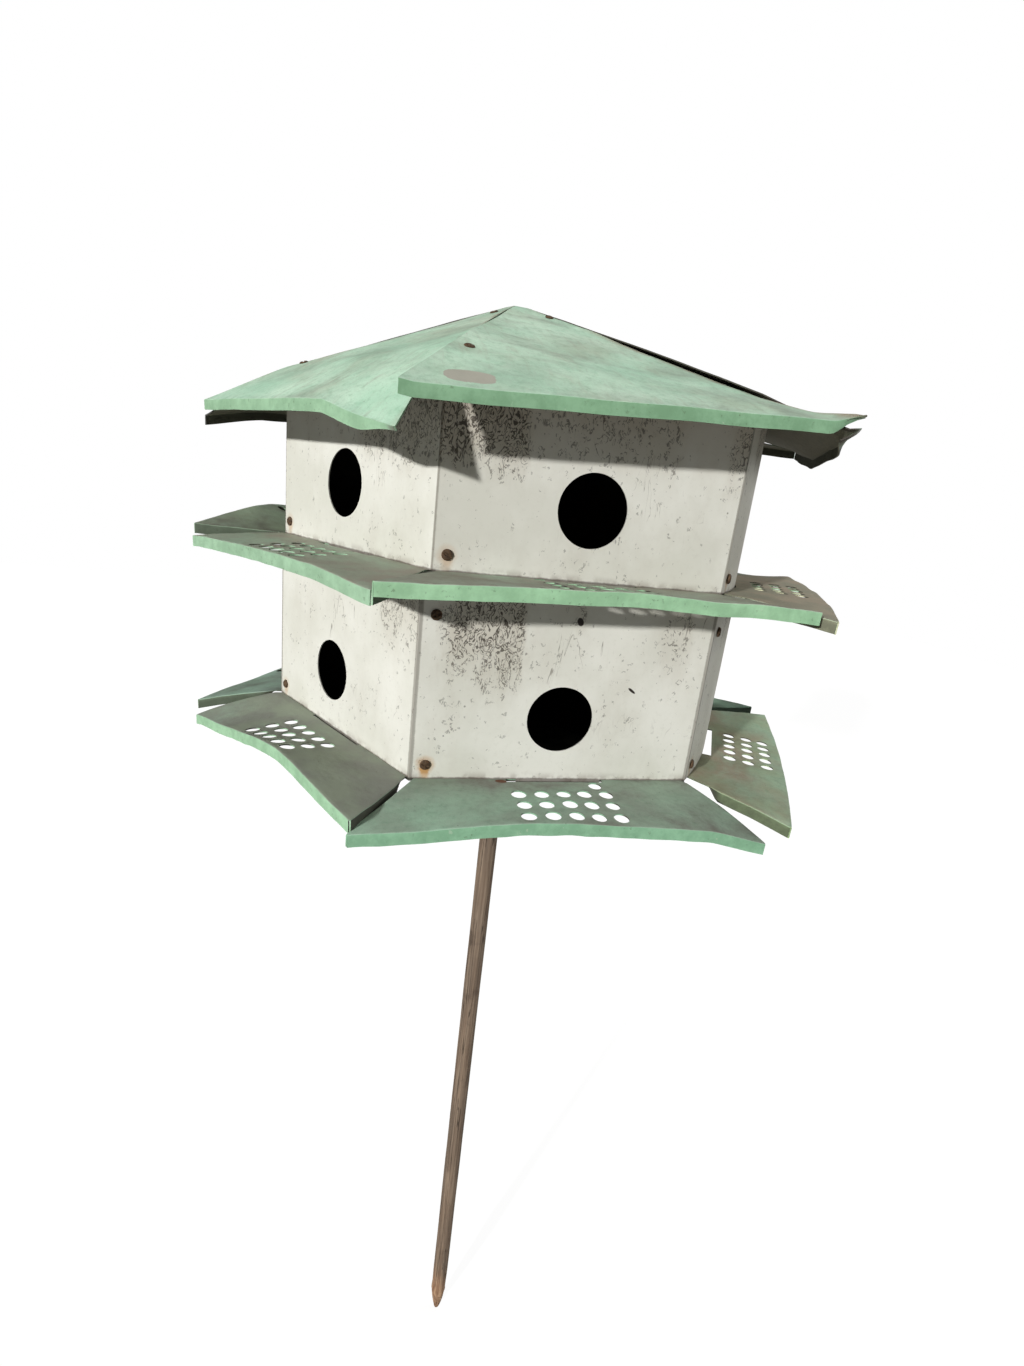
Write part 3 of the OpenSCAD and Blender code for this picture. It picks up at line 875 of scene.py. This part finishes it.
def roofMesh(name, side):
    twist = house["upperTwist"]
    seed = 30 + side
    radius = roof["fold"]
    outs = ([1.5 * mm, 6 * mm] + spread(roof["peakFlat"], upperApothem, 34)
            + spread(upperApothem, eaveOut - radius, 12)[1:])
    rows = [(out, 0.0, 0.0) for out in outs]
    rows += [(eaveOut - radius, away, down) for away, down in fold(radius, roof["lip"], rows=3)]
    columns = spread(-1, 1, 71)

    def pointAt(row, u):
        out, away, down = row
        across, far, height = roofPoint(side, u, out, seed)
        lean = dent(across, 3, seed + 9, 0.04, 1.0 * mm) * (down / roof["lip"])
        far += away - abs(lean)
        height -= down
        if side == 0 and u > 0.9 and out > eaveOut - curl["reach"]:
            # right corner: the end of the eave curls up and back
            bent = smooth((u - 0.9) / 0.1) * smooth((out + away - eaveOut + curl["reach"]) / (24 * mm))
            height += bent * (curl["rise"] + down * 0.8)
            across += bent * (curl["over"] + 3 * mm * noise.noise(Vector((down * 400, 2, 5))))
            far -= bent * down * 0.5
        if side == 1 and u < -0.84 and down > 0:
            # the torn lip of the next panel is crumpled under it
            crush = smooth((-u - 0.84) / 0.16)
            far += smooth((-u - 0.90) / 0.10) * 7 * mm * (1 - down / roof["lip"])
            far -= crush * down * 0.55
            height += crush * 2.5 * mm * noise.noise(Vector((across * 160, down * 300, 8)))
        if side == 5 and down > 0 and u > 0.72:
            # the lip of the bent corner was torn down to a narrow strip
            far -= smooth((u - 0.9) / 0.1) * down * 0.25
            height += smooth((u - 0.72) / 0.28) * down * 0.72
        return place(side, across, far, height, twist)

    mesh = sheetGrid(name, rows, columns, pointAt, lambda *cells: False)
    mesh = applied(name, mesh, [
        ("SOLIDIFY", {"thickness": house["sheet"], "offset": -1, "use_even_offset": True})])
    keepInside(mesh)
    sharpen(mesh, math.radians(32))
    return mesh


def roofLook(side):
    looks = {
        0: {"level": -0.16, "right": 0.1, "far": 0.2, "hips": 0.022, "oneHip": True, "seed": 12.1,
            "dirt": srgb(158, 164, 142), "most": 0.6, "lip": srgb(122, 162, 126),
            "bare": (-109 * mm, 249 * mm, 16 * mm, 9 * mm), "streaks": 0.35},
        5: {"level": -0.18, "right": -0.4, "far": -0.8, "hips": 0.016, "seed": 13.9,
            "dirt": srgb(166, 158, 140), "most": 0.6, "lip": srgb(140, 176, 142), "streaks": 0.5},
        1: {"level": 0.1, "right": 0.0, "far": -0.3, "hips": 0.02, "seed": 15.2,
            "dirt": srgb(144, 142, 122), "most": 0.7, "lip": srgb(112, 132, 112), "streaks": 0.4,
            "shadedLipEnd": (-1, 120 * mm, srgb(92, 92, 88)), "rim": (56, 48, 40)},
        4: {"level": 0.05, "right": 0.0, "far": -0.3, "hips": 0.018, "seed": 20.0, "streaks": 0.4,
            "dirt": srgb(150, 152, 132), "most": 0.7, "lip": srgb(120, 136, 120),
            "shadedLipEnd": (1, 20 * mm, srgb(70, 70, 66))},
    }
    plain = {"level": 0.05, "right": 0.0, "far": -0.3, "hips": 0.018, "seed": 16.0 + side,
             "dirt": srgb(150, 152, 132), "most": 0.7, "lip": srgb(128, 164, 134), "streaks": 0.4}
    look = dict(looks.get(side, plain))
    look["middle"] = 140 * mm
    shift = peakShift(side)
    look["peak"] = (shift.x, shift.y, upperApothem, roof["peakFlat"])
    look["tint"] = mintPale
    return look


def makeRoof():
    for side, name in enumerate(sideNames):
        node = "roof_" + name
        mesh = roofMesh(node + "_sheet", side)
        material = greenPaint("green paint " + node, side, house["upperTwist"], roofLook(side))
        newPiece(node + "_sheet", mesh, material, "green_paint", node)
    print("roof panels folded")


makeRoof()


def screwInto(work, matrix, seed, painted=False):
    # a domed slotted head and a short shank, joined to the mesh of its row of screws
    rng = random.Random(seed)
    radius, rise = screwHead["radius"], screwHead["rise"]
    floorZ, half = rise - screwHead["slotDeep"], screwHead["slot"] / 2
    slope = screwHead["slotSide"]
    # from the shank up over the dome: share of the radius, share of the rise
    rings = [(0.47, -2.2), (0.47, 0.0), (0.96, 0.0), (1.0, 0.18), (0.97, 0.42), (0.86, 0.68), (0.66, 0.88),
             (0.42, 0.97), (0.2, 1.0)]
    turn = Matrix.Rotation(rng.uniform(0, math.pi), 4, "Z")
    matrix = matrix @ turn
    count = 32
    grown = []
    for share, level in rings:
        ring = []
        for k in range(count):
            angle = 2 * math.pi * k / count
            px, py = radius * share * math.cos(angle), radius * share * math.sin(angle)
            pz = rise * level
            if level > 0.3 and abs(py) < half + slope:
                pz = min(pz, floorZ + max(0.0, abs(py) - half) / slope * (pz - floorZ))
            ring.append(work.verts.new(matrix @ Vector((px, py, pz))))
        grown.append(ring)
    for low, high in zip(grown, grown[1:]):
        for k in range(count):
            work.faces.new((low[k], low[(k + 1) % count], high[(k + 1) % count], high[k]))
    work.faces.new(grown[-1])
    work.faces.new(list(reversed(grown[0])))
    for face in work.faces:
        if painted and not face.tag:
            face.material_index = 1
        face.tag = True


def facing(side, twist, across, out, z, lean=0.0):
    # a frame whose Z points out of a side of the house, or up off the roof
    angle = side * math.pi / 3 + twist
    turn = Matrix.Rotation(angle, 4, "Z") @ Matrix.Rotation(math.pi / 2 - lean, 4, "X")
    return Matrix.Translation(place(side, across, out, z, twist)) @ turn


def finishScrews(work, name, material, node, painted=None):
    bmesh.ops.recalc_face_normals(work, faces=work.faces)
    mesh = bpy.data.meshes.new(name)
    work.to_mesh(mesh)
    work.free()
    keepInside(mesh)
    sharpen(mesh)
    newPiece(name, mesh, material, "rusty_screw", node)
    if painted is not None:
        mesh.materials.append(painted)


def makeScrews():
    rust = rustySteel("rusty screws", srgb(70, 54, 40), srgb(104, 82, 60))
    greyed = plainPaint("painted over screw", srgb(168, 168, 158), srgb(120, 118, 108), 300)
    for storey, (twist, apothem, floorTop) in storeys.items():
        work = bmesh.new()
        for side in range(6):
            for k, z in enumerate(screwHeights[storey]):
                across = -wallWidth / 2 + screwInset
                share = screwInset / wallWidth
                bulge = 4 * house["bulge"] * share * (1 - share) if side == 1 else 0.0
                matrix = facing(side, twist, across, apothem + bulge, floorTop + house["sheet"] + z)
                screwInto(work, matrix, 7 * side + k, painted=(side == 0 and k == 1))
        finishScrews(work, storey + "_wall_screw_heads", rust, storey + "_wall_screws", greyed)
    work = bmesh.new()
    for side in range(6):
        low, high = roof["screws"]
        spots = [low, (high[0] - peakShift(side).x * 0.2, high[1])]
        for k, (across, out) in enumerate(spots):
            u = across / (out * math.tan(math.pi / 6) - roof["hipGap"])
            x, far, z = roofPoint(side, max(-0.9, min(0.9, u)), out, 30 + side)
            matrix = facing(side, house["upperTwist"], x, far, z, lean=math.pi / 2 - roof["pitch"])
            screwInto(work, matrix @ Matrix.Diagonal((0.92, 0.92, 0.62, 1)), 90 + 5 * side + k)
    finishScrews(work, "roof_screw_heads", rust, "roof_screws")
    print("screws driven")


makeScrews()


pole = {"radius": 11 * mm, "most": 11.95 * mm, "pointTall": 42 * mm, "burrZ": 46 * mm, "tip": 3.5 * mm}


def poleRadius(angle, z):
    # whittled flats at the point, a burr above them, then a rod that isn't quite round
    rod = pole["radius"] * (0.975 + 0.02 * noise.noise(Vector((math.cos(angle), math.sin(angle), z * 9))))
    if z < pole["pointTall"]:
        t = z / pole["pointTall"]
        tip = pole["tip"] * (0.9 + 0.1 * math.cos(2 * angle))
        flats = 0.90 + 0.10 * abs(math.cos(2.5 * angle + 3 * t))
        return (tip + (pole["radius"] - tip) * t ** 0.8) * flats
    burr = math.exp(-((z - pole["burrZ"]) / (9 * mm)) ** 2) * 0.9 * mm * max(0.0, math.cos(angle - math.pi))
    taper = 0.94 + 0.06 * smooth((z - pole["pointTall"]) / (50 * mm))
    return min(rod * taper + burr, pole["most"])


def makePole():
    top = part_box("pole")[1].z
    levels = spread(0, 0.1, 26) + spread(0.1, top, 70)[1:]
    count = 40
    work = bmesh.new()
    rings = []
    for z in levels:
        ring = []
        for k in range(count):
            angle = 2 * math.pi * k / count
            rough = 0.22 * mm * noise.noise(Vector((math.cos(angle) * 9, math.sin(angle) * 9, z * 14)))
            fray = 0.5 * mm * noise.noise(Vector((angle * 5, z * 160, 2))) * smooth(1 - z / 0.09)
            radius = poleRadius(angle, z) + rough - abs(fray)
            ring.append(work.verts.new((radius * math.cos(angle), radius * math.sin(angle), z)))
        rings.append(ring)
    for low, high in zip(rings, rings[1:]):
        for k in range(count):
            work.faces.new((low[k], low[(k + 1) % count], high[(k + 1) % count], high[k]))
    work.faces.new(list(reversed(rings[0])))
    work.faces.new(rings[-1])
    mesh = bpy.data.meshes.new("whittled_pole")
    work.to_mesh(mesh)
    work.free()
    keepInside(mesh)
    sharpen(mesh, math.radians(40))
    newPiece("whittled_pole", mesh, oldWood("old wood"), "weathered_wood", "pole")
    print("pole whittled")


makePole()


rooms = {"wide": 0.7 * mm, "cornerGap": 5 * mm, "sway": 1.2 * mm, "steps": 20, "headroom": 2 * mm}


def makeDividers():
    # thin sheets from the middle to the corners part the six nest rooms of a storey
    # painted shade: the sheets are near black so the rooms look dark through the doors
    dark = plainPaint("divider sheet dark as shade", srgb(44, 42, 39), srgb(58, 54, 48), 60)
    ceilings = {"lower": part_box("upper_floor")[0].z, "upper": wallTop - rooms["headroom"]}
    for storey, (twist, apothem, low) in storeys.items():
        high = ceilings[storey]
        work = bmesh.new()
        corner = apothem / math.cos(math.pi / 6) - rooms["cornerGap"]
        half = rooms["wide"] / 2
        for side in range(6):
            turn = Matrix.Rotation((side + 0.5) * math.pi / 3 + twist, 4, "Z")
            steps = spread(0.0, corner, rooms["steps"])        # the six sheets meet on the axis
            rings = []
            for far in steps:
                sway = rooms["sway"] * math.sin(far / corner * math.pi) * (1 if side % 2 else -1)
                rings.append([work.verts.new(turn @ Vector((sway + beside, -far, z)))
                              for beside, z in ((-half, low), (half, low), (half, high), (-half, high))])
            for near, beyond in zip(rings, rings[1:]):
                for k in range(4):
                    work.faces.new((near[k], near[(k + 1) % 4], beyond[(k + 1) % 4], beyond[k]))
            work.faces.new(rings[0])
            work.faces.new(list(reversed(rings[-1])))
        bmesh.ops.recalc_face_normals(work, faces=work.faces)
        mesh = bpy.data.meshes.new(storey + "_nest_dividers")
        work.to_mesh(mesh)
        work.free()
        newPiece(storey + "_nest_dividers", mesh, dark, "white_paint")
    print("nest rooms parted")


makeDividers()


def paintRest():
    dull = rustySteel("dull socket steel", srgb(70, 68, 64), srgb(98, 84, 70))
    underside = plainPaint("floor underside", srgb(120, 122, 112), srgb(86, 88, 78), 40)
    for node, material in (("pole_socket", dull), ("lower_floor", underside), ("upper_floor", underside)):
        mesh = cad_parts[node].data
        mesh.materials.clear()
        mesh.materials.append(material)


paintRest()


studio = {
    "sunAlong": Vector((1.04, 1.0, -0.36)),   # the way the key light travels
    "sunPower": 3.35,
    "sunAngle": math.radians(2.5),
    "sky": 0.08,
    "sideAlong": (-1, 0.05, -0.25),           # a weak broad fill for the walls on the right
    "sidePower": 1.0,
    "topAlong": (-0.3, -0.3, -1),             # and one for what faces up
    "topPower": 0.95,
    "floorShown": 0.6,
    "floorGlow": 1.5,
    "floorSize": 14.0,
}


def makeStage():
    mesh = bpy.data.meshes.new("pale_floor")
    half = studio["floorSize"] / 2
    mesh.from_pydata([(-half, -half, 0), (half, -half, 0), (half, half, 0), (-half, half, 0)], [],
                     [(0, 1, 2, 3)])
    floor = bpy.data.objects.new("pale_floor", mesh)
    scene.collection.objects.link(floor)
    g = Graph(bpy.data.materials.new("pale floor"))
    path = g.node("ShaderNodeLightPath")
    seen = Wire(g, path.outputs["Is Camera Ray"]) * studio["floorShown"]
    shadowed = g.node("ShaderNodeBsdfDiffuse", None, {"Color": (0.5, 0.5, 0.49)})
    shown = g.node("ShaderNodeEmission", None, {"Color": (1, 1, 1), "Strength": studio["floorGlow"]})
    blend = g.node("ShaderNodeMixShader", None, {0: seen, 1: shadowed.outputs[0], 2: shown.outputs[0]})
    g.node("ShaderNodeOutputMaterial", None, {0: blend.outputs[0]})
    mesh.materials.append(g.owner)


def makeWorld():
    scene.world = bpy.data.worlds.new("soft studio")
    g = Graph(scene.world)
    path = g.node("ShaderNodeLightPath")
    seen = Wire(g, path.outputs["Is Camera Ray"]).math("MAXIMUM", path.outputs["Is Transmission Ray"])
    lit = g.node("ShaderNodeBackground", None, {"Color": (1.0, 0.99, 0.97), "Strength": studio["sky"]})
    shown = g.node("ShaderNodeBackground", None, {"Color": (1, 1, 1), "Strength": 1.0})
    blend = g.node("ShaderNodeMixShader", None, {0: seen, 1: lit.outputs[0], 2: shown.outputs[0]})
    g.node("ShaderNodeOutputWorld", None, {0: blend.outputs[0]})


def makeSun(name, along, power, angle):
    light = bpy.data.lights.new(name, "SUN")
    light.energy = power
    light.angle = angle
    lamp = bpy.data.objects.new(name, light)
    scene.collection.objects.link(lamp)
    lamp.rotation_euler = Vector(along).to_track_quat("-Z", "Y").to_euler()


viewpoint = {
    "lens": 16.683,
    "place": (-0.1612, -0.6684, 1.2314),
    "heading": math.radians(-14.14),
    "tilt": math.radians(73.89),
    "roll": math.radians(6.53),
}


def makeCamera():
    data = bpy.data.cameras.new("left front view")
    data.lens = viewpoint["lens"]
    data.sensor_width = 36.0
    camera = bpy.data.objects.new("left front view", data)
    scene.collection.objects.link(camera)
    camera.location = viewpoint["place"]
    turn = (Matrix.Rotation(viewpoint["heading"], 3, "Z") @ Matrix.Rotation(viewpoint["tilt"], 3, "X")
            @ Matrix.Rotation(viewpoint["roll"], 3, "Z"))
    camera.rotation_euler = turn.to_euler()
    data.clip_start = 0.02
    scene.camera = camera


makeStage()
makeWorld()
makeSun("key sun", studio["sunAlong"], studio["sunPower"], studio["sunAngle"])
makeSun("side fill", studio["sideAlong"], studio["sidePower"], math.radians(30))
makeSun("top fill", studio["topAlong"], studio["topPower"], math.radians(60))
makeCamera()
scene.view_settings.view_transform = "Standard"
print("stage lit")
